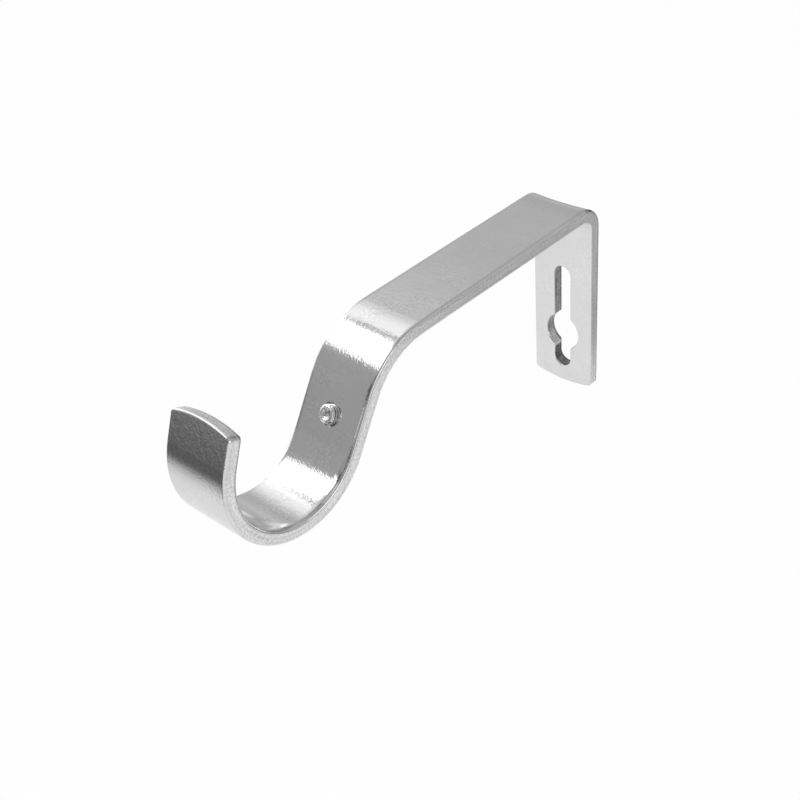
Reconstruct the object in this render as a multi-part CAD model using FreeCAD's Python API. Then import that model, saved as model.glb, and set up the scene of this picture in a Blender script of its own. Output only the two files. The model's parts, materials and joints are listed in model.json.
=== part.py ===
import FreeCAD, Part
import math
import os

# Wall bracket for a curtain pole: one flat steel strip folded into a wall plate, an arm, a sloping
# leg and an open hook, with a small screw through the leg that is turned in to grip the pole.
#
# Frame, in millimetres: X runs across the strip and along the pole, +Z is up, and the wall is the
# plane Y = 0 with the bracket standing out along -Y. The origin is on the wall, at the centre of the
# keyhole's rounded upper end, where the wall screw sits when the bracket hangs on it.

# Strip stock
STRIP_WIDTH = 16.0
STRIP_THICKNESS = 3.0
EDGE_ROUND = 0.45
CORNER_ROUND = 1.0

# The strip's stretches from the lower end of the wall plate to the tip of the hook, on the face that
# lies on the wall, on top of the arm and against the pole
PLATE_LENGTH = 41.3
WALL_BEND_INSIDE_RADIUS = 2.5
WALL_BEND_MIDDLE_RADIUS = 6.2
WALL_BEND_TURN = 91.9
ARM_LENGTH = 52.7
SHOULDER_INSIDE_RADIUS = 15.8
SHOULDER_TURN = 56.7
LEG_LENGTH = 12.1
HOOK_INSIDE_RADIUS = 14.7
HOOK_TURN = 169.6
TIP_LENGTH = 6.3

# How far the middle of each cut end stands out past its corners
PLATE_END_BULGE = 1.0
TIP_END_BULGE = 1.05

# Keyhole, measured down from the top of the arm
ARM_TOP_HEIGHT = 19.25
SLOT_WIDTH = 4.5
ENTRY_DIAMETER = 9.0
ENTRY_DROP = 34.4
SLOT_BOTTOM_DROP = 43.6
KEYHOLE_JUNCTION_ROUND = 0.6
KEYHOLE_MOUTH_ROUND = 0.25

# Lock screw: an M4 x 6 pan head with a cross recess, and its hole in the leg
SCREW_DIAMETER = 3.9
SCREW_LENGTH = 6.0
SCREW_END_CHAMFER = 0.3
SCREW_STANDS_OUT = 1.6
SCREW_FROM_SHOULDER = 6.3
SCREW_HOLE_DIAMETER = 4.0
COUNTERSINK_DIAMETER = 5.0
HEAD_DIAMETER = 8.0
HEAD_HEIGHT = 3.1
HEAD_SIDE_HEIGHT = 1.5
HEAD_EDGE_ROUND = 0.8
RECESS_SPAN = 4.4
RECESS_WING = 1.0
RECESS_FLOOR_SPAN = 2.2
RECESS_FLOOR_WING = 0.7
RECESS_DEPTH = 2.0
RECESS_TURNS = (45.0, 135.0)

# How far cutting shapes run past what they cut, and how near two measures count as the same
CLEAR = 1.0
NEAR = 0.01

UP = FreeCAD.Vector(0, 0, 1)
DOWN = FreeCAD.Vector(0, 0, -1)
TO_ROOM = FreeCAD.Vector(0, -1, 0)


def point(out, up, across=0.0):
    """A point so far out from the wall, so far up, and so far across the strip."""
    return FreeCAD.Vector(across, -out, up)


class Walk:
    """Walks along the strip and keeps the edges of its two faces, seen from the side."""

    def __init__(self, out, up, heading):
        self.spot = (out, up)
        self.heading = math.radians(heading)
        self.face = []
        self.back = []

    def ahead(self):
        return math.cos(self.heading), math.sin(self.heading)

    def right(self):
        out, up = self.ahead()
        return up, -out

    def beside(self, spot, distance):
        out, up = self.right()
        return spot[0] + out * distance, spot[1] + up * distance

    def straight(self, length):
        start = self.spot
        out, up = self.ahead()
        end = (start[0] + out * length, start[1] + up * length)
        self.face.append(Part.LineSegment(point(*start), point(*end)).toShape())
        back_start = self.beside(start, STRIP_THICKNESS)
        back_end = self.beside(end, STRIP_THICKNESS)
        self.back.append(Part.LineSegment(point(*back_start), point(*back_end)).toShape())
        self.spot = end

    def fold(self, turn, inside_radius):
        """Turns right with this radius inside and a sharp corner outside, and gives the corner."""
        outside_radius = inside_radius + STRIP_THICKNESS
        to_corner = outside_radius * math.tan(math.radians(turn) / 2.0)
        self.bend(turn, inside_radius, True)
        end = self.spot
        out, up = self.ahead()
        corner = (end[0] - out * to_corner, end[1] - up * to_corner)
        start = self.face[-1].Vertexes[0].Point
        self.face[-1:] = [
            Part.LineSegment(start, point(*corner)).toShape(),
            Part.LineSegment(point(*corner), point(*end)).toShape(),
        ]
        return corner

    def bend(self, turn, inside_radius, to_the_right):
        """Turns by so many degrees, with this radius on the inside of the bend."""
        side = 1.0 if to_the_right else -1.0
        face_radius = inside_radius + (STRIP_THICKNESS if to_the_right else 0.0)
        back_radius = inside_radius + (0.0 if to_the_right else STRIP_THICKNESS)
        centre = self.beside(self.spot, side * face_radius)
        start = self.heading
        arcs = []
        for radius in (face_radius, back_radius):
            spots = []
            for part in (0.0, 0.5, 1.0):
                self.heading = start - side * math.radians(turn) * part
                spots.append(point(*self.beside(centre, -side * radius)))
            arcs.append(Part.Arc(*spots).toShape())
        self.face.append(arcs[0])
        self.back.append(arcs[1])
        self.spot = self.beside(centre, -side * face_radius)


def end_trimmer(bulge):
    """What a convex end takes off a square one whose middle is at the origin, facing up."""
    half = STRIP_WIDTH / 2.0
    radius = (half ** 2 + bulge ** 2) / (2.0 * bulge)
    depth = STRIP_THICKNESS + 2.0 * CLEAR
    block = Part.makeBox(STRIP_WIDTH + 2.0 * CLEAR, depth, bulge + 2.0 * CLEAR)
    block.translate(FreeCAD.Vector(-half - CLEAR, -depth / 2.0, -bulge - CLEAR))
    inside_start = FreeCAD.Vector(0, depth / 2.0 + CLEAR, -radius)
    inside = Part.makeCylinder(radius, depth + 2.0 * CLEAR, inside_start, TO_ROOM)
    return block.cut(inside)


def placed(shape, place, direction):
    """Turns the shape about X so that its +Z looks along the direction, and moves it to the place."""
    angle = math.degrees(math.atan2(-direction.y, direction.z))
    turned = shape.copy()
    turned.rotate(FreeCAD.Vector(), FreeCAD.Vector(1, 0, 0), angle)
    turned.translate(place)
    return turned


def runs_through(edge):
    """True for a straight edge that goes from one face of the strip to the other."""
    first, last = edge.Vertexes[0].Point, edge.Vertexes[-1].Point
    return abs(edge.Length - STRIP_THICKNESS) < NEAR and abs(first.x - last.x) < NEAR


def runs_across(edge):
    """True for a line across the strip, where a bend starts or ends."""
    first, last = edge.Vertexes[0].Point, edge.Vertexes[-1].Point
    return abs(edge.Length - abs(first.x - last.x)) < NEAR and edge.Length > STRIP_WIDTH / 2.0


def outside_of_wall_bend(corner, arm_ahead):
    """What lies outside the wall bend's rounded outside. Folding draws the middle of the strip in,
    so the outside is rounder there than at the strip's edges."""
    half_turn = math.radians(WALL_BEND_TURN) / 2.0
    edge_radius = WALL_BEND_INSIDE_RADIUS + STRIP_THICKNESS
    arm_out, arm_up = arm_ahead
    corner_out, corner_up = corner
    wires = []
    for share in (-1.0, 0.0, 1.0):
        across = share * STRIP_WIDTH / 2.0
        radius = WALL_BEND_MIDDLE_RADIUS - (WALL_BEND_MIDDLE_RADIUS - edge_radius) * share ** 2
        tangent = radius * math.tan(half_turn)
        on_wall = (corner_out, corner_up - tangent)
        on_arm = (corner_out + arm_out * tangent, corner_up + arm_up * tangent)
        middle = (
            on_wall[0] + radius * (1.0 - math.cos(half_turn)),
            on_wall[1] + radius * math.sin(half_turn),
        )
        spots = [
            point(*on_wall, across),
            point(on_wall[0] - CLEAR, on_wall[1], across),
            point(corner_out - CLEAR, corner_up + CLEAR, across),
            point(on_arm[0] - arm_up * CLEAR, on_arm[1] + arm_out * CLEAR, across),
            point(*on_arm, across),
        ]
        edges = [Part.LineSegment(start, end).toShape() for start, end in zip(spots, spots[1:])]
        edges.append(Part.Arc(spots[-1], point(*middle, across), spots[0]).toShape())
        wires.append(Part.Wire(edges))
    return Part.makeLoft(wires, True, False)


def folded_strip(walk, outside_bend, plate_trim, tip_trim):
    """The folded strip with its convex ends and rounded edges, before its holes."""
    caps = [
        Part.LineSegment(walk.face[0].Vertexes[0].Point, walk.back[0].Vertexes[0].Point).toShape(),
        Part.LineSegment(walk.face[-1].Vertexes[-1].Point, walk.back[-1].Vertexes[-1].Point).toShape(),
    ]
    outline = Part.Wire(Part.__sortEdges__(walk.face + walk.back + caps))
    side = Part.Face(outline)
    side.translate(FreeCAD.Vector(-STRIP_WIDTH / 2.0, 0, 0))
    strip = side.extrude(FreeCAD.Vector(STRIP_WIDTH, 0, 0)).removeSplitter()
    for waste in (outside_bend, plate_trim, tip_trim):
        strip = strip.cut(waste)
    corners = [edge for edge in strip.Edges if runs_through(edge)]
    strip = strip.makeFillet(CORNER_ROUND, corners)
    rims = [edge for edge in strip.Edges if not runs_through(edge) and not runs_across(edge)]
    return strip.makeFillet(EDGE_ROUND, rims)


def keyhole():
    """The keyhole's full outline, from well behind the plate to well in front of it."""
    depth = STRIP_THICKNESS + 2.0 * CLEAR
    half = SLOT_WIDTH / 2.0
    entry_radius = ENTRY_DIAMETER / 2.0
    entry_height = ARM_TOP_HEIGHT - ENTRY_DROP
    low = ARM_TOP_HEIGHT - SLOT_BOTTOM_DROP + half
    slot = Part.makeBox(SLOT_WIDTH, depth, -low)
    slot.translate(FreeCAD.Vector(-half, CLEAR - depth, low))
    rounds = [
        Part.makeCylinder(radius, depth, FreeCAD.Vector(0, CLEAR, height), TO_ROOM)
        for radius, height in ((half, 0.0), (half, low), (entry_radius, entry_height))
    ]
    hole = slot.fuse(rounds).removeSplitter()
    junction_rise = math.sqrt(entry_radius ** 2 - half ** 2)
    junctions = []
    for edge in hole.Edges:
        middle = edge.CenterOfMass
        at_slot_side = abs(abs(middle.x) - half) < NEAR
        at_entry = abs(abs(middle.z - entry_height) - junction_rise) < NEAR
        if abs(edge.Length - depth) < NEAR and at_slot_side and at_entry:
            junctions.append(edge)
    return hole.makeFillet(KEYHOLE_JUNCTION_ROUND, junctions)


def keyhole_mouths(strip):
    """The keyhole's edges on the plate's two faces."""
    reach = ENTRY_DIAMETER / 2.0 + NEAR
    low = ARM_TOP_HEIGHT - SLOT_BOTTOM_DROP - NEAR
    high = SLOT_WIDTH / 2.0 + NEAR
    mouths = []
    for edge in strip.Edges:
        box = edge.BoundBox
        inside = box.XMin > -reach and box.XMax < reach and box.ZMin > low and box.ZMax < high
        on_wall_side = abs(box.YMin) < NEAR
        on_room_side = abs(box.YMin + STRIP_THICKNESS) < NEAR
        if inside and box.YLength < NEAR and (on_wall_side or on_room_side):
            mouths.append(edge)
    return mouths


def screw_hole():
    """The lock screw's hole with a countersink at each mouth. The pole's face of the leg is at Z = 0."""
    radius = SCREW_HOLE_DIAMETER / 2.0
    sink = COUNTERSINK_DIAMETER / 2.0 - radius
    below = FreeCAD.Vector(0, 0, -STRIP_THICKNESS - CLEAR)
    drill = Part.makeCylinder(radius, STRIP_THICKNESS + 2.0 * CLEAR, below)
    wide = radius + sink + CLEAR
    pole_side = Part.makeCone(radius, wide, sink + CLEAR, FreeCAD.Vector(0, 0, -sink))
    back_side = Part.makeCone(wide, radius, sink + CLEAR, below)
    return drill.fuse([pole_side, back_side])


def recess_wing():
    """One bar of the cross recess, narrowing into the head. The head's top is at Z = 0."""
    wires = []
    for height, span, wing in (
        (-CLEAR, RECESS_SPAN, RECESS_WING),
        (RECESS_DEPTH, RECESS_FLOOR_SPAN, RECESS_FLOOR_WING),
    ):
        corners = [
            FreeCAD.Vector(x * span / 2.0, y * wing / 2.0, height)
            for x, y in ((-1, -1), (1, -1), (1, 1), (-1, 1), (-1, -1))
        ]
        wires.append(Part.makePolygon(corners))
    return Part.makeLoft(wires, True, True)


def lock_screw():
    """The screw along Z: its head hangs below Z = 0 and its shank reaches up to its length."""
    radius = SCREW_DIAMETER / 2.0
    shank = Part.makeCylinder(radius, SCREW_LENGTH)
    tip = [edge for edge in shank.Edges if edge.BoundBox.ZMin > SCREW_LENGTH - NEAR]
    shank = shank.makeChamfer(SCREW_END_CHAMFER, tip)

    head_radius = HEAD_DIAMETER / 2.0
    rise = HEAD_HEIGHT - HEAD_SIDE_HEIGHT
    crown_radius = (head_radius ** 2 + rise ** 2) / (2.0 * rise)
    head = Part.makeCylinder(head_radius, HEAD_HEIGHT, FreeCAD.Vector(0, 0, -HEAD_HEIGHT))
    crown = Part.makeSphere(crown_radius, FreeCAD.Vector(0, 0, crown_radius - HEAD_HEIGHT))
    head = head.common(crown)
    shoulder = [
        edge
        for edge in head.Edges
        if edge.BoundBox.ZLength < NEAR and abs(edge.BoundBox.ZMin + HEAD_SIDE_HEIGHT) < NEAR
    ]
    head = head.makeFillet(HEAD_EDGE_ROUND, shoulder)

    for turn in RECESS_TURNS:
        wing = recess_wing()
        wing.translate(FreeCAD.Vector(0, 0, -HEAD_HEIGHT))
        wing.rotate(FreeCAD.Vector(), UP, turn)
        head = head.cut(wing)
    return head.fuse(shank).removeSplitter()


# Walk the strip, from the foot of the wall plate to the tip of the hook
plate_foot = ARM_TOP_HEIGHT - WALL_BEND_INSIDE_RADIUS - STRIP_THICKNESS - PLATE_LENGTH
walk = Walk(0.0, plate_foot - PLATE_END_BULGE, 90.0)
walk.straight(PLATE_LENGTH + PLATE_END_BULGE)
wall_corner = walk.fold(WALL_BEND_TURN, WALL_BEND_INSIDE_RADIUS)
arm_ahead = walk.ahead()
walk.straight(ARM_LENGTH)
walk.bend(SHOULDER_TURN, SHOULDER_INSIDE_RADIUS, True)
leg_start = walk.spot
leg_ahead = walk.ahead()
leg_right = walk.right()
walk.straight(LEG_LENGTH)
hook_centre = walk.beside(walk.spot, -HOOK_INSIDE_RADIUS)
walk.bend(HOOK_TURN, HOOK_INSIDE_RADIUS, False)
walk.straight(TIP_LENGTH + TIP_END_BULGE)

# Ends of the strip, at the middle of its thickness
plate_end = point(STRIP_THICKNESS / 2.0, plate_foot - PLATE_END_BULGE)
tip_end = point(*walk.beside(walk.spot, STRIP_THICKNESS / 2.0))
tip_direction = point(*walk.ahead())

# The lock screw's axis leaves the leg's face square to it, towards the pole
screw_mouth = point(*leg_start) + point(*leg_ahead) * SCREW_FROM_SHOULDER
screw_axis = point(-leg_right[0], -leg_right[1])
screw_seat = screw_mouth + screw_axis * (SCREW_STANDS_OUT - SCREW_LENGTH)

strip = folded_strip(
    walk,
    outside_of_wall_bend(wall_corner, arm_ahead),
    placed(end_trimmer(PLATE_END_BULGE), plate_end, DOWN),
    placed(end_trimmer(TIP_END_BULGE), tip_end, tip_direction),
)
strip = strip.cut(keyhole())
strip = strip.makeFillet(KEYHOLE_MOUTH_ROUND, keyhole_mouths(strip))
strip = strip.cut(placed(screw_hole(), screw_mouth, screw_axis))

parts = {
    "bracket_strip": strip,
    "lock_screw": placed(lock_screw(), screw_seat, screw_axis),
}

os.makedirs("parts", exist_ok=True)
for name, shape in parts.items():
    print(name, "solids", len(shape.Solids), "valid", shape.isValid(), "volume", round(shape.Volume, 2))
    shape.Solids[0].exportStep("parts/" + name + ".step")

print("hook centre", point(*hook_centre))
print("screw mouth", screw_mouth, "axis", screw_axis, "head seat", screw_seat)
print("leg runs from", point(*leg_start), "along", point(*leg_ahead))
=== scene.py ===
import json
import math

import bpy
from mathutils import Matrix, Vector

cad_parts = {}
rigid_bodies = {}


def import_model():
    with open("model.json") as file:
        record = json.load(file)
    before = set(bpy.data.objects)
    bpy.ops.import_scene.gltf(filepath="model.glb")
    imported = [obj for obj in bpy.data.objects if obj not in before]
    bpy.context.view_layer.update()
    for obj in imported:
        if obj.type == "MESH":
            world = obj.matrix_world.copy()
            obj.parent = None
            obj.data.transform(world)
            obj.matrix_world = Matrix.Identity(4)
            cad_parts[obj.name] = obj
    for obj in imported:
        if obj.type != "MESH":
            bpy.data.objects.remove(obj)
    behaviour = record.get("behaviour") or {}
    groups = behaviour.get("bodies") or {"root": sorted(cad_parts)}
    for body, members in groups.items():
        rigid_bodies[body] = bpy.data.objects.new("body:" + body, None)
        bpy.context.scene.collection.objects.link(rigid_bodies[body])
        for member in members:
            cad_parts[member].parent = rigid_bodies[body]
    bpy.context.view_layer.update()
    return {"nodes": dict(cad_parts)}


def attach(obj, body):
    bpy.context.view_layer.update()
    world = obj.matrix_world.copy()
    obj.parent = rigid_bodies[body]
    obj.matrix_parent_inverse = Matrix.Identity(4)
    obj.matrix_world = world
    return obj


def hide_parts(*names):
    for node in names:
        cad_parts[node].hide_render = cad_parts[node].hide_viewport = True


# A curtain pole bracket of plated steel strip, with the lock screw that grips the pole, on a pale
# studio floor. X runs across the strip and along the pole, +Z is up, and the wall is the plane Y = 0.

bpy.ops.object.select_all(action="SELECT")
bpy.ops.object.delete()
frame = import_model()

MM = 0.001

# The strip, in millimetres, as the solid is made. Points and directions are (Y, Z), and the three
# directions point straight out of the face that carries the pole.
WALL_BEND_CENTRE = (-5.5, 13.75)
WALL_BEND_RADIUS = 5.5
ARM_START = (-5.68, 19.25)
ARM_UPWARD = (-0.0332, 0.9994)
SHOULDER_START = (-58.35, 17.5)
SHOULDER_CENTRE = (-57.73, -1.29)
SHOULDER_RADIUS = 18.8
LEG_START = (-73.777, 8.505)
LEG_OUTWARD = (-0.8536, 0.521)
LEG_END = (-80.08, -1.823)
HOOK_CENTRE = (-92.628, 5.836)
HOOK_RADIUS = 14.7
TIP_START = (-106.352, 11.104)
TIP_INWARD = (0.9336, -0.3584)
PLATE_FOOT = -28.55

# The strip's finish. Its sides show cut metal between these depths, with a soft change to each
# broad face.
CUT_FROM = 0.25
CUT_TO = 2.75
CUT_FADE = 0.25
STRIP_TONE = 0.76
# Drag marks are drawn out along the strip by shrinking the pattern's place to this share
DRAG_SHARE = 0.05

# The lock screw, in millimetres along its own axis: 0 is under the head, and the end is above it
SCREW_SEAT = (0, -73.30355, 0.8352)
SCREW_AXIS = (0, -0.8535508, 0.5210096)
SCREW_LENGTH = 6.0
SCREW_TONE = 0.84
THREAD_RADIUS = 1.95
THREAD_ROOT_RADIUS = 1.6
THREAD_PITCH = 0.7
THREAD_TURNS = 14
THREAD_STEPS = 48
HEAD_RADIUS = 4.0
HEAD_HEIGHT = 3.1
HEAD_STEPS = 72
RECESS_SPAN = 4.4
RECESS_WIDTH = 1.0
RECESS_DEPTH = 2.0
CUT_CLEAR = 0.2
SAME_POINT = 1e-4
SMOOTH_DEGREES = 35

# The studio, in metres. The floor's shares are how much of it is its glow, and not its paint.
ROOM_WHITE = 0.97
FLOOR_GLOW_SEEN = 0.97
FLOOR_GLOW_MIRRORED = 0.9
KEY_HEIGHT = 0.6
KEY_RADIANCE = 1.8


class Value:
    """A socket's value in a shader. Python's operators on it add Math nodes."""

    def __init__(self, nodes, socket):
        self.nodes = nodes
        self.socket = socket

    def math(self, operation, *inputs):
        return self.nodes.add("Math", {"operation": operation}, dict(enumerate(inputs)))

    def __add__(self, other):
        return self.math("ADD", self, other)

    def __radd__(self, other):
        return self.math("ADD", other, self)

    def __sub__(self, other):
        return self.math("SUBTRACT", self, other)

    def __rsub__(self, other):
        return self.math("SUBTRACT", other, self)

    def __mul__(self, other):
        return self.math("MULTIPLY", self, other)

    def __rmul__(self, other):
        return self.math("MULTIPLY", other, self)

    def __pow__(self, power):
        return self.math("POWER", self, power)

    def __gt__(self, other):
        return self.math("GREATER_THAN", self, other)

    def __lt__(self, other):
        return self.math("LESS_THAN", self, other)

    def __abs__(self):
        return self.math("ABSOLUTE", self)

    def at_least(self, other):
        return self.math("MAXIMUM", self, other)

    def at_most(self, other):
        return self.math("MINIMUM", self, other)

    def rise(self, low, high):
        """0 below low and 1 above high, with a smooth change between them. Falls if low > high."""
        return self.nodes.add(
            "MapRange", {"interpolation_type": "SMOOTHSTEP"}, {0: self, 1: low, 2: high, 3: 0.0, 4: 1.0}
        )


class Nodes:
    """The nodes of one material, or of the world."""

    def __init__(self, tree):
        tree.nodes.clear()
        self.tree = tree

    def add(self, kind, settings={}, sockets={}, output=0):
        """Adds a node with its settings, then the values and links of its sockets, and gives the
        value of one of its outputs."""
        node = self.tree.nodes.new("ShaderNode" + kind)
        for name, setting in settings.items():
            setattr(node, name, setting)
        for name, value in sockets.items():
            if isinstance(value, Value):
                self.tree.links.new(value.socket, node.inputs[name])
            else:
                node.inputs[name].default_value = value
        return Value(self, node.outputs[output] if node.outputs else None)

    def split(self, vector):
        """The three parts of a vector."""
        return [self.add("SeparateXYZ", {}, {0: vector}, axis) for axis in range(3)]

    def place_mm(self):
        """The point's place in millimetres: across the strip, towards the wall and up."""
        return [part * (1 / MM) for part in self.split(self.add("TexCoord", {}, {}, "Object"))]

    def vector(self, x, y, z):
        return self.add("CombineXYZ", {}, {0: x, 1: y, 2: z})

    def noise(self, point, size, detail=2.0, roughness=0.5):
        """Soft noise from 0 to 1 whose lumps are about this size."""
        sockets = {"Vector": point, "Scale": 1 / size, "Detail": detail, "Roughness": roughness}
        return self.add("TexNoise", {}, sockets, 0)

    def pits(self, point, size, share):
        """1 inside small round spots, which lie in about this share of the cells of this size."""
        cells = {"Vector": point, "Scale": 1 / size}
        distance = self.add("TexVoronoi", {}, cells, "Distance")
        colour = self.add("TexVoronoi", {}, cells, "Color")
        chance = self.add("SeparateColor", {}, {0: colour}, 0)
        reach = self.add("SeparateColor", {}, {0: colour}, 1)
        return distance.rise(0.17, 0.07) * (chance < share) * reach

    def light_path(self, ray):
        """1 for rays of this kind."""
        return self.add("LightPath", {}, {}, ray)

    def mix_number(self, share, without, with_all):
        return self.add("Mix", {"data_type": "FLOAT"}, {0: share, 2: without, 3: with_all})

    def metal(self, tone, roughness, height_mm):
        """Plated metal of this grey, whose surface stands up by so many millimetres, joined to the
        material's output."""
        shader = self.add("BsdfPrincipled", {}, {
            "Metallic": 1.0,
            "Base Color": self.add("CombineColor", {}, {0: tone, 1: tone, 2: tone}),
            "Roughness": roughness,
            "Normal": self.add("Bump", {}, {"Strength": 1.0, "Distance": MM, "Height": height_mm}),
        })
        self.add("OutputMaterial", {}, {"Surface": shader})


def new_material(name):
    material = bpy.data.materials.new(name)
    material.use_nodes = True
    return material, Nodes(material.node_tree)


def grey(value):
    return (value, value, value, 1.0)


def depth_in_strip(y, z):
    """How deep a point lies under the face that runs over the wall side of the plate, the top of
    the arm, the leg's front and the inside of the hook, in millimetres."""

    def under(point, outward):
        return (point[0] - y) * outward[0] + (point[1] - z) * outward[1]

    def along(point, outward):
        """How far a point is along the strip from here, towards the tip."""
        return (y - point[0]) * -outward[1] + (z - point[1]) * outward[0]

    def radius(centre):
        return ((y - centre[0]) ** 2 + (z - centre[1]) ** 2) ** 0.5

    nodes = y.nodes
    depth = -1.0 * y
    for is_here, here in (
        (z > WALL_BEND_CENTRE[1], WALL_BEND_RADIUS - radius(WALL_BEND_CENTRE)),
        (along(ARM_START, ARM_UPWARD) > 0, under(ARM_START, ARM_UPWARD)),
        (along(SHOULDER_START, ARM_UPWARD) > 0, SHOULDER_RADIUS - radius(SHOULDER_CENTRE)),
        (along(LEG_START, LEG_OUTWARD) > 0, under(LEG_START, LEG_OUTWARD)),
        (along(LEG_END, LEG_OUTWARD) > 0, radius(HOOK_CENTRE) - HOOK_RADIUS),
    ):
        depth = nodes.mix_number(is_here, depth, here)
    is_tip = (along(TIP_START, TIP_INWARD) > 0) * (y < LEG_END[0])
    return nodes.mix_number(is_tip, depth, under(TIP_START, TIP_INWARD))


def strip_roll_off(x, y, z, depth):
    """How far the surface drops towards the sheared edges, in millimetres. The face that carries
    the pole drops at both edges, except low on the shoulder, and further at one edge wherever it
    lies low, as at the hook's bottom. The sides drop towards that face."""
    both_edges = (abs(x) - 6.9).at_least(0.0).at_most(0.7) ** 2 * 0.15
    low_on_shoulder = z.rise(9.5, 12) * z.rise(16.2, 15) * y.rise(-58, -62)
    hook_edge = (x - 5.8).at_least(0.0).at_most(1.8) ** 2 * z.rise(0, -6) * 0.06
    sides = (0.8 - depth).at_least(0.0).at_most(0.5) ** 2 * 0.9
    return (both_edges * (1 - low_on_shoulder) + hook_edge) * depth.rise(2.2, 0.8) + sides


def strip_painted_shade(x, y, z, cut_face):
    """How much painted shade darkens the strip below the arm's tone, by place. Below 0 it is painted light,
    which brightens it.
    """
    in_keyhole = cut_face * abs(x).rise(6.0, 5.5) * z.rise(13.0, 12.0) * (y > -4.0)
    # Painted shade down the keyhole's wall: its upper slot, its round entry, its lower slot and the foot of
    # that
    upper_slot = 0.42
    entry = z.rise(-11, -12.5) * 0.08
    entry_foot = z.rise(-15, -18.5) * 0.45
    lower_slot = z.rise(-19.6, -20.4) * 0.75
    slot_foot = z.rise(-22.5, -24) * 0.2
    keyhole_shade = upper_slot + entry - entry_foot + lower_slot - slot_foot
    # Painted light on the tip's cut faces, which brightens them
    on_tip = cut_face * (abs(x) < 7.4) * (y < -95)
    # Painted shade on the broad faces by the wall bend
    by_wall_bend = (1 - cut_face) * y.rise(-12, -4) * z.rise(12, 16)
    return in_keyhole * keyhole_shade - on_tip * 0.12 + by_wall_bend * 0.12


def plated_strip_material():
    """Bright plating on rolled bar: a fine orange peel on the broad faces, drag marks on the cut
    sides and keyhole walls, edges that roll off, and a few pits."""
    material, nodes = new_material("plated_steel_strip")
    x, y, z = nodes.place_mm()
    here = nodes.vector(x, y, z)
    depth = depth_in_strip(y, z)
    cut_face = depth.rise(CUT_FROM, CUT_FROM + CUT_FADE) * depth.rise(CUT_TO, CUT_TO - CUT_FADE)

    # The broad faces, with an orange peel and pits
    peel = nodes.noise(here, size=0.4, detail=1.0) * 0.016 + nodes.noise(here, size=1.1, detail=1.0) * 0.014
    pits = nodes.pits(here, size=1.7, share=0.06)
    broad = peel - pits * 0.02

    # The cut sides, with drag marks that run along the strip and a seam near each face
    along = nodes.vector(depth, y * DRAG_SHARE, z * DRAG_SHARE)
    drag = nodes.noise(along, size=0.45, detail=3.0, roughness=0.6)
    grain = nodes.noise(here, size=0.5, detail=2.0, roughness=0.6)
    cut = drag * 0.06 + grain * 0.04
    deep_seam = depth.rise(1.95, 2.15) * depth.rise(2.4, 2.25)
    shallow_seam = depth.rise(0.55, 0.65) * depth.rise(0.85, 0.7)
    marks = (drag - 0.4) * 0.5 + (grain - 0.5) * 0.8 + (deep_seam + shallow_seam) * 0.1

    # Clouds over all of it, and a mottle in patches that is stronger past the arm
    cloud = nodes.noise(here, size=7.0, detail=3.0, roughness=0.6)
    patches = nodes.noise(here, size=9.0, detail=1.0).rise(0.4, 0.6)
    mottle = (nodes.noise(here, size=0.55, detail=3.0, roughness=0.65) - 0.5) * patches
    tone = STRIP_TONE + (cloud - 0.5) * 0.1 + mottle * (0.2 + y.rise(-35, -50) * 0.4)

    # The cut sides' marks, with painted shade and painted light by place taken off and added
    marks_and_painted_shade = 1 - cut_face * marks - strip_painted_shade(x, y, z, cut_face)
    shine = 0.12 + (cloud - 0.5) * 0.05
    nodes.metal(
        tone=tone * marks_and_painted_shade * (1 - pits * 0.5),
        roughness=nodes.mix_number(cut_face, shine, 0.28 + drag * 0.1) + pits * 0.15,
        height_mm=nodes.mix_number(cut_face, broad, cut) - strip_roll_off(x, y, z, depth),
    )
    return material


def plated_screw_material():
    """Bright plating on a turned screw, rougher in the roots of its thread with painted shade there, and
    lumpy at its end.
    """
    material, nodes = new_material("plated_screw")
    x, y, z = nodes.place_mm()
    here = nodes.vector(x, y, z)
    side = (y - SCREW_SEAT[1]) * SCREW_AXIS[2] - (z - SCREW_SEAT[2]) * SCREW_AXIS[1]
    radius = (x ** 2 + side ** 2) ** 0.5
    along = (y - SCREW_SEAT[1]) * SCREW_AXIS[1] + (z - SCREW_SEAT[2]) * SCREW_AXIS[2]
    on_shank = (along > 0.05) * (along < SCREW_LENGTH - 0.65)
    at_end = along.rise(SCREW_LENGTH - 0.9, SCREW_LENGTH - 0.6)
    root = radius.rise(THREAD_RADIUS - 0.05, THREAD_ROOT_RADIUS + 0.02) * on_shank
    rings = nodes.noise(nodes.vector(radius, y * DRAG_SHARE, z * DRAG_SHARE), size=0.3, detail=2.0)
    grain = nodes.noise(here, size=0.3, detail=2.0, roughness=0.6)
    lumps = nodes.noise(here, size=0.7, detail=2.0) * (0.03 + at_end * 0.22)
    # The tone is darker in the thread's roots: painted shade there
    nodes.metal(
        tone=SCREW_TONE - root * 0.65 + (grain - 0.5) * 0.08,
        roughness=0.1 + grain * 0.08 + root * 0.15,
        height_mm=rings * 0.02 + grain * 0.02 + lumps,
    )
    return material


def only(piece):
    """Leaves a piece selected on its own, and active."""
    bpy.ops.object.select_all(action="DESELECT")
    piece.select_set(True)
    bpy.context.view_layer.objects.active = piece


def start(name):
    """Names the primitive that was just added, and leaves it selected on its own."""
    piece = bpy.context.object
    only(piece)
    piece.name = piece.data.name = name
    return piece


def edit_all():
    """Opens the active piece in edit mode, with all of it selected."""
    bpy.ops.object.mode_set(mode="EDIT")
    bpy.ops.mesh.select_all(action="SELECT")


def settle():
    """Leaves the selected piece at the origin, unturned and unscaled, with its place in its mesh."""
    bpy.ops.object.transform_apply(location=True, rotation=True, scale=True)


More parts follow.
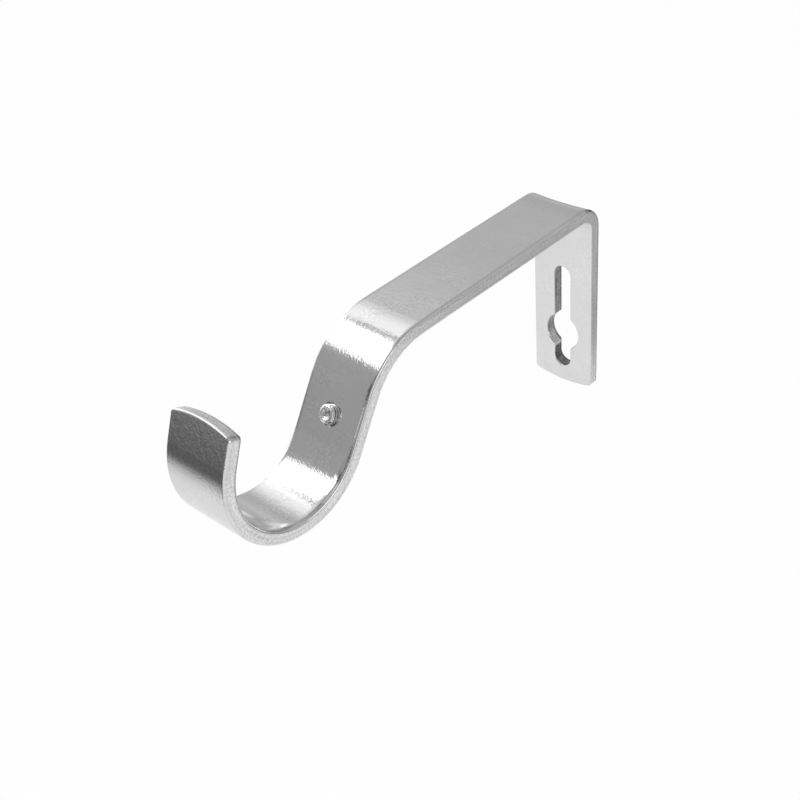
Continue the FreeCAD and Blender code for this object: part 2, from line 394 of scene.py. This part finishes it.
def outline(name, points):
    """A thin line of vertices through (radius, height) points, extruded from one to the next."""
    bpy.ops.mesh.primitive_plane_add(size=1)
    piece = start(name)
    edit_all()
    bpy.ops.mesh.merge(type="CENTER")
    at = Vector((0, 0, 0))
    for number, (radius, height) in enumerate(points):
        step = Vector((radius, 0, height)) - at
        if number == 0:
            bpy.ops.transform.translate(value=step)
        else:
            bpy.ops.mesh.extrude_region_move(TRANSFORM_OT_translate={"value": step})
        at += step
    bpy.ops.object.mode_set(mode="OBJECT")
    return piece


def clean(piece):
    """Merges doubled points and turns the faces outwards."""
    bpy.context.view_layer.objects.active = piece
    edit_all()
    bpy.ops.mesh.remove_doubles(threshold=SAME_POINT)
    bpy.ops.mesh.normals_make_consistent(inside=False)
    bpy.ops.object.mode_set(mode="OBJECT")


def turned(name, points, steps):
    """A solid of revolution about Z, from its (radius, height) outline."""
    piece = outline(name, points)
    edit_all()
    bpy.ops.mesh.spin(steps=steps, angle=math.tau, center=(0, 0, 0), axis=(0, 0, 1))
    bpy.ops.object.mode_set(mode="OBJECT")
    clean(piece)
    return piece


def use_modifier(piece, kind, **settings):
    """Gives a piece a modifier and applies it."""
    only(piece)
    modifier = piece.modifiers.new(kind, kind)
    for name, setting in settings.items():
        setattr(modifier, name, setting)
    bpy.ops.object.modifier_apply(modifier=modifier.name)


def combine(piece, operation, other):
    """Joins a piece with another, keeps what they share, or cuts the other from it."""
    use_modifier(piece, "BOOLEAN", operation=operation, object=other, solver="EXACT")
    bpy.data.objects.remove(other)


def threaded_rod():
    """A rod with a single-start thread, longer than the screw at both ends."""
    depth = THREAD_RADIUS - THREAD_ROOT_RADIUS
    low = -3 * THREAD_PITCH
    ridge = [(0.0, 0.0), (0.0, 0.08), (1.0, 0.29), (1.0, 0.39), (0.0, 0.6), (0.0, THREAD_PITCH)]
    rod = outline("threaded_rod", [(THREAD_ROOT_RADIUS + out * depth, low + up) for out, up in ridge])
    use_modifier(
        rod, "SCREW", angle=math.tau, screw_offset=THREAD_PITCH, iterations=THREAD_TURNS, axis="Z",
        steps=THREAD_STEPS, render_steps=THREAD_STEPS, use_merge_vertices=True, merge_threshold=SAME_POINT,
    )
    for height, outward in ((low + 1.5 * THREAD_PITCH, -1), (SCREW_LENGTH + THREAD_PITCH, 1)):
        edit_all()
        bpy.ops.mesh.bisect(
            plane_co=(0, 0, height), plane_no=(0, 0, outward), use_fill=True, clear_outer=True
        )
        bpy.ops.object.mode_set(mode="OBJECT")
    clean(rod)
    return rod


def recess_wing(turn):
    """One wing of the cross recess in the head: a bar that tapers inwards, and stands a little out
    of the head."""
    length = RECESS_DEPTH + CUT_CLEAR
    middle = -HEAD_HEIGHT - CUT_CLEAR + length / 2
    bpy.ops.mesh.primitive_cube_add(
        size=1, location=(0, 0, middle), scale=(RECESS_SPAN, RECESS_WIDTH, length)
    )
    wing = start("recess_wing")
    settle()
    bpy.ops.object.mode_set(mode="EDIT")
    bpy.ops.mesh.select_mode(type="FACE")
    bpy.ops.mesh.select_all(action="DESELECT")
    bpy.ops.object.mode_set(mode="OBJECT")
    for face in wing.data.polygons:
        face.select = face.normal.z > 0.9
    bpy.ops.object.mode_set(mode="EDIT")
    bpy.ops.transform.resize(value=(0.5, 0.7, 1))
    bpy.ops.mesh.select_mode(type="VERT")
    bpy.ops.object.mode_set(mode="OBJECT")
    wing.rotation_euler.z = math.radians(turn)
    settle()
    return wing


def screw_blank():
    """The shape that the thread is kept inside: it has a chamfer and a dish at the screw's end."""
    bottom = -0.6
    outside = THREAD_RADIUS + 0.1
    below_end = [
        (outside, -0.52), (THREAD_RADIUS, -0.42), (1.6, -0.14), (1.35, -0.01), (1.25, -0.02),
        (1.08, -0.14), (0.84, -0.33), (0.6, -0.49), (0.35, -0.57), (0.0, -0.6),
    ]
    top = [(radius, SCREW_LENGTH + height) for radius, height in below_end]
    return turned("screw_blank", [(0.0, bottom), (outside, bottom), *top], THREAD_STEPS)


def screw_head():
    """A pan head with a cross recess."""
    crown = [
        (0.0, HEAD_HEIGHT), (0.9, 3.06), (1.8, 2.93), (2.6, 2.7), (3.2, 2.38), (3.62, 2.0), (3.88, 1.5),
    ]
    rim = [(HEAD_RADIUS, 1.1), (HEAD_RADIUS, 0.35), (3.93, 0.12), (3.75, 0.0)]
    underside = [(2.3, 0.0), (THREAD_ROOT_RADIUS, 0.0), (0.0, 0.0)]
    profile = [(radius, -height) for radius, height in crown + rim + underside]
    head = turned("screw_head", profile, HEAD_STEPS)
    for turn in (45.0, 135.0):
        combine(head, "DIFFERENCE", recess_wing(turn))
    return head


def lock_screw():
    """The lock screw: an M4 thread with a dished, chamfered end, and its head behind the leg."""
    screw = threaded_rod()
    combine(screw, "INTERSECT", screw_blank())
    combine(screw, "UNION", screw_head())
    screw.name = screw.data.name = "threaded_lock_screw"
    clean(screw)
    turn = Vector((0, 0, 1)).rotation_difference(Vector(SCREW_AXIS)).to_matrix().to_4x4()
    screw.matrix_world = Matrix.Scale(MM, 4) @ Matrix.Translation(SCREW_SEAT) @ turn
    only(screw)
    settle()
    bpy.ops.object.shade_smooth_by_angle(angle=math.radians(SMOOTH_DEGREES))
    return screw


def floor():
    """A large pale floor under the plate's foot. It looks white to the camera, keeps some of the
    bracket's shadow, and in the metal's reflections its glow is painted light that falls off, with painted
    shade in front and behind."""
    bpy.ops.mesh.primitive_plane_add(size=8, location=(0, 0, PLATE_FOOT * MM))
    piece = start("studio_floor")
    material, nodes = new_material("pale_floor")
    mirrored = nodes.light_path("Is Glossy Ray")
    through = nodes.light_path("Is Transmission Ray")
    share = nodes.light_path("Is Camera Ray") * FLOOR_GLOW_SEEN
    share = share + mirrored * FLOOR_GLOW_MIRRORED + through * FLOOR_GLOW_MIRRORED
    x, y, _ = nodes.place_mm()
    # The glow that the metal sees is painted light and shade: paler by the wall, a painted dark stretch in
    # front that eases far off, and painted shade behind
    by_wall = y.rise(-130, -80)
    dark_front = y.rise(-128, -196) * x.rise(60, -40)
    far_front = y.rise(-310, -520)
    painted_shade_behind = (x * 0.3 + y * 0.95).rise(-5, 32)
    level = 0.87 + by_wall * 0.07 - dark_front * (0.82 - far_front * 0.2) - painted_shade_behind * 0.45
    paint = nodes.add("BsdfDiffuse", {}, {"Color": grey(0.85)})
    glow = nodes.add("Emission", {}, {"Strength": nodes.mix_number(mirrored, 1.0, level)})
    surface = nodes.add("MixShader", {}, {0: share, 1: paint, 2: glow})
    nodes.add("OutputMaterial", {}, {"Surface": surface})
    material.cycles.emission_sampling = "NONE"
    piece.data.materials.append(material)


def placed_columns(across, upward, facing, place):
    """The matrix that lays X, Y and Z along these directions, from this place."""
    return Matrix.Translation(place) @ Matrix((across, upward, facing)).transposed().to_4x4()


def card(name, corner, across, upward, radiance, trim=None):
    """A flat card that only the metal sees, from its corner. Trim gives a point and a direction,
    past which the card is cut off."""
    bpy.ops.mesh.primitive_plane_add(size=1, location=(0.5, 0.5, 0))
    piece = start(name)
    settle()
    across, upward = Vector(across), Vector(upward)
    piece.matrix_world = placed_columns(across, upward, across.cross(upward).normalized(), corner)
    settle()
    if trim:
        edit_all()
        bpy.ops.mesh.bisect(plane_co=trim[0], plane_no=trim[1], clear_outer=True)
        bpy.ops.object.mode_set(mode="OBJECT")
    material, nodes = new_material(name)
    light = nodes.add("Emission", {}, {"Strength": radiance})
    nodes.add("OutputMaterial", {}, {"Surface": light})
    material.cycles.emission_sampling = "NONE"
    piece.data.materials.append(material)
    piece.visible_camera = False
    piece.visible_diffuse = False
    piece.visible_shadow = False


def softbox(name, centre, target, turn, width, height, radiance):
    """A rectangular soft lamp at centre that faces target, of this radiance. It lights the floor.
    In the metal, the cards and the room take its place."""
    bpy.ops.object.light_add(type="AREA", location=centre)
    lamp = bpy.context.object
    lamp.name = name
    facing = (Vector(target) - Vector(centre)).to_track_quat("-Z", "Y").to_matrix()
    lamp.rotation_euler = (facing @ Matrix.Rotation(math.radians(turn), 3, "Z")).to_euler()
    lamp.data.shape = "RECTANGLE"
    lamp.data.size = width
    lamp.data.size_y = height
    lamp.data.energy = radiance * math.pi * width * height
    lamp.visible_camera = False
    lamp.visible_glossy = False


def room():
    """The room around the studio: plain white to the camera, and grey in the metal, by direction."""
    world = bpy.data.worlds.new("grey_room")
    bpy.context.scene.world = world
    world.use_nodes = True
    nodes = Nodes(world.node_tree)
    x, y, z = nodes.split(nodes.add("TexCoord", {}, {}, "Generated"))

    # Paler above the floor and behind the bracket, and darker overhead
    level = 0.26 + z.rise(0.0, 0.25) * 0.14 + y.rise(-0.5, 0.5) * 0.14 - z.rise(0.6, 0.9) * 0.1

    # A glow beside the key light, in which the arm's end and the shoulder brighten
    towards_glow = x * -0.64 + y * 0.2 + z * 0.74
    glow = (towards_glow - 0.88).at_least(0.0) * 4.0 + (towards_glow - 0.94).at_least(0.0) * 4.0

    # Dark stretches, which draw thin lines along the rolled edges
    dark_middle = x.rise(-0.53, -0.43) * x.rise(0.05, -0.1) * (1 - z.rise(0.7, 0.95) * 0.6)
    dark_middle = dark_middle * (1 - y.rise(0.25, 0.5) * 0.8)
    dark_front = z.rise(0.12, -0.02) * y.rise(-0.4, -0.6)
    dark_behind = x.rise(-0.44, -0.36) * y.rise(0.8, 0.9)

    # Pale stretches, to the sides, overhead and low behind
    pale_left = x.rise(-0.75, -0.9) * y.rise(-0.45, -0.25)
    pale_right = x.rise(0.82, 0.92)
    pale_overhead = y.rise(0.05, -0.1) * z.rise(0.8, 0.88)
    pale_behind = y.rise(0.68, 0.75) * z.rise(0.45, 0.15)

    level = level + glow - dark_middle * 0.27 - dark_front * 0.12 + pale_left + pale_right
    level = level + pale_overhead * 0.25 + pale_behind * 0.13 - dark_behind * 0.4
    strength = nodes.mix_number(nodes.light_path("Is Camera Ray"), level, ROOM_WHITE)
    background = nodes.add("Background", {}, {"Color": grey(1.0), "Strength": strength})
    nodes.add("OutputWorld", {}, {"Surface": background})


def camera():
    """The camera at the photograph's angle."""
    data = bpy.data.cameras.new("camera")
    data.sensor_width = 36
    data.lens = 56.566
    data.clip_start = 0.01
    eye = bpy.data.objects.new("camera", data)
    bpy.context.scene.collection.objects.link(eye)
    right = Vector((0.730861, 0.678376, -0.075154))
    up = Vector((-0.339111, 0.456477, 0.822577))
    eye.matrix_world = placed_columns(right, up, right.cross(up), (0.152876, -0.206684, 0.141381))
    bpy.context.scene.camera = eye


strip = frame["nodes"]["bracket_strip"]
strip_finish = plated_strip_material()
for slot in strip.material_slots:
    slot.material = strip_finish

screw = lock_screw()
screw.data.materials.clear()
screw.data.materials.append(plated_screw_material())
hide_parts("lock_screw")
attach(screw, "screw")

camera()
floor()
room()
softbox(
    "key_softbox", centre=(-0.539, -0.193, KEY_HEIGHT), target=(-0.539, -0.193, 0), turn=-56.5,
    width=0.87, height=0.342, radiance=KEY_RADIANCE,
)
softbox(
    "fill_softbox", centre=(0.3, -0.4, 0.35), target=(0, -0.06, 0), turn=0,
    width=0.5, height=0.5, radiance=1.7,
)
# The key light's face, as the metal sees it: the white on the shoulder and inside the hook
card(
    "key_face", corner=(-0.613, 0.269, KEY_HEIGHT), across=(0.4703, -0.7097, 0),
    upward=(-0.311, -0.2065, 0), radiance=KEY_RADIANCE,
    trim=((-0.487, -0.016, KEY_HEIGHT), (0.31, 0.95, 0)),
)
# A low strip of it, which takes the white inside the hook further down
card(
    "key_lip", corner=(-0.166, -0.0225, 0.2), across=(-0.08, 0.019, 0), upward=(0, -0.06, 0),
    radiance=KEY_RADIANCE,
)
# Its grey rim, which is the thin dark line across the shoulder
card(
    "key_rim", corner=(-0.841, 0.171, 0.599), across=(0.475, -0.155, 0),
    upward=(-0.0228, -0.0698, 0), radiance=0.5,
)
bpy.context.scene.view_settings.view_transform = "Standard"
